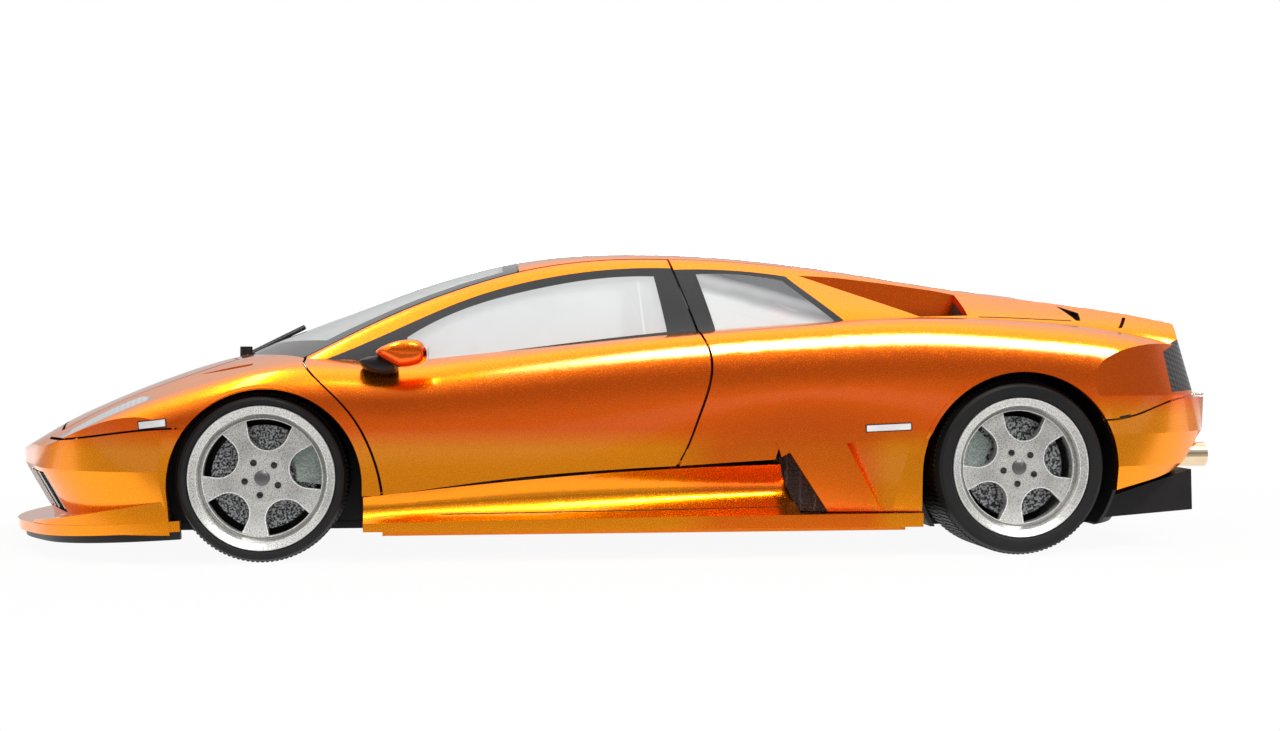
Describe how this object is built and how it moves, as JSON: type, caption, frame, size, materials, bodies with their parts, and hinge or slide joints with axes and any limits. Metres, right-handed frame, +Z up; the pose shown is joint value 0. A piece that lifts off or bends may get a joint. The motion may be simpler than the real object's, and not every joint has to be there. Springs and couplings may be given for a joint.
{
  "type": "1:18 scale model of a mid-engined supercar",
  "caption": "Low wedge-shaped scale model of a mid-engined supercar with upward-swinging doors, opening lids, steered front wheels and freely turning wheels.",
  "frame": {"origin": "on the ground, under the middle of the car's length and width", "axes": "-X forward to the nose, +X to the tail, +Y to the car's right-hand side, +Z up"},
  "size_m": [0.2535, 0.1282, 0.062],
  "materials": {
    "body_paint": "metallic orange gloss",
    "black_trim": "satin black",
    "black_moulding": "matt black",
    "clear_glass": "clear",
    "lamp_glass": "clear over a dark housing",
    "dark_lens": "dark ribbed lens",
    "chrome": "bright",
    "steel": "plain",
    "silver_paint": "fine silver grain",
    "disc_metal": "stippled grey",
    "caliper_paint": "grey-green",
    "tyre": "matt rubber",
    "seat_trim": "matt black",
    "engine_casting": "plain block"
  },
  "bodies": {
    "car_body": {"cabin_tub": "black_moulding", "chassis_base": "black_moulding", "console": "black_moulding", "dashboard": "black_moulding", "engine_block": "engine_casting", "exhaust_tips": "chrome", "front_body": "body_paint", "front_bumper": "body_paint", "front_grilles": "black_trim", "front_lip": "black_trim", "headlamps": "lamp_glass", "luggage_tub": "black_moulding", "quarter_frames": "black_trim", "quarter_windows": "clear_glass", "rear_axle": "steel", "rear_body": "body_paint", "rear_bumper": "body_paint", "rear_calipers": "caliper_paint", "rear_diffuser": "black_trim", "rear_window": "clear_glass", "roof_panel": "body_paint", "seats": "seat_trim", "shoulder_meshes": "black_trim", "side_intakes": "black_trim", "side_sills": "body_paint", "steering_wheel": "black_moulding", "tail_grille": "black_trim", "tail_lamps": "dark_lens", "wheel_wells": "black_moulding", "windscreen": "clear_glass", "wiper": "black_trim"},
    "left_door": {"left_door_card": "black_moulding", "left_door_frame": "black_trim", "left_door_glass": "clear_glass", "left_door_skin": "body_paint", "left_mirror": "body_paint"},
    "left_knuckle": {"left_knuckle": "steel", "left_front_caliper": "caliper_paint"},
    "right_door": {"right_door_card": "black_moulding", "right_door_frame": "black_trim", "right_door_glass": "clear_glass", "right_door_skin": "body_paint", "right_mirror": "body_paint"},
    "right_knuckle": {"right_knuckle": "steel", "right_front_caliper": "caliper_paint"},
    "front_lid": {"front_lid": "body_paint"},
    "engine_lid": {"engine_lid": "body_paint"},
    "left_front_wheel": {"left_front_wheel_tyre": "tyre", "left_front_wheel_rim": "silver_paint", "left_front_wheel_disc": "disc_metal"},
    "right_front_wheel": {"right_front_wheel_tyre": "tyre", "right_front_wheel_rim": "silver_paint", "right_front_wheel_disc": "disc_metal"},
    "left_rear_wheel": {"left_rear_wheel_tyre": "tyre", "left_rear_wheel_rim": "silver_paint", "left_rear_wheel_disc": "disc_metal"},
    "right_rear_wheel": {"right_rear_wheel_tyre": "tyre", "right_rear_wheel_rim": "silver_paint", "right_rear_wheel_disc": "disc_metal"}
  },
  "joints": [
    {"name": "left_steer", "type": "hinge", "parent": "car_body", "child": "left_knuckle", "pos_m": [-0.07025, -0.035, 0.0162], "axis": [0, 0, 1], "range_deg": [-20, 20]},
    {"name": "right_steer", "type": "hinge", "parent": "car_body", "child": "right_knuckle", "pos_m": [-0.07025, 0.035, 0.0162], "axis": [0, 0, 1], "range_deg": [-20, 20]},
    {"name": "left_front_wheel_spin", "type": "hinge", "parent": "left_knuckle", "child": "left_front_wheel", "pos_m": [-0.07025, -0.0454, 0.0162], "axis": [0, 1, 0], "continuous": true},
    {"name": "right_front_wheel_spin", "type": "hinge", "parent": "right_knuckle", "child": "right_front_wheel", "pos_m": [-0.07025, 0.0454, 0.0162], "axis": [0, 1, 0], "continuous": true},
    {"name": "left_rear_wheel_spin", "type": "hinge", "parent": "car_body", "child": "left_rear_wheel", "pos_m": [0.07775, -0.0468, 0.0174], "axis": [0, 1, 0], "continuous": true},
    {"name": "right_rear_wheel_spin", "type": "hinge", "parent": "car_body", "child": "right_rear_wheel", "pos_m": [0.07775, 0.0468, 0.0174], "axis": [0, 1, 0], "continuous": true},
    {"name": "left_door_lift", "type": "hinge", "parent": "car_body", "child": "left_door", "pos_m": [-0.06375, -0.043, 0.0385], "axis": [0, -0.9848, -0.1736], "range_deg": [0, 70]},
    {"name": "right_door_lift", "type": "hinge", "parent": "car_body", "child": "right_door", "pos_m": [-0.06375, 0.043, 0.0385], "axis": [0, -0.9848, 0.1736], "range_deg": [0, 70]},
    {"name": "front_lid_hinge", "type": "hinge", "parent": "car_body", "child": "front_lid", "pos_m": [-0.07755, 0, 0.0396], "axis": [0, 1, 0], "range_deg": [0, 60]},
    {"name": "engine_lid_hinge", "type": "hinge", "parent": "car_body", "child": "engine_lid", "pos_m": [0.03965, 0, 0.06], "axis": [0, -1, 0], "range_deg": [0, 50]}
  ],
  "couplings": [
    {"joint": "right_steer", "follows": "left_steer", "ratio": 1}
  ]
}
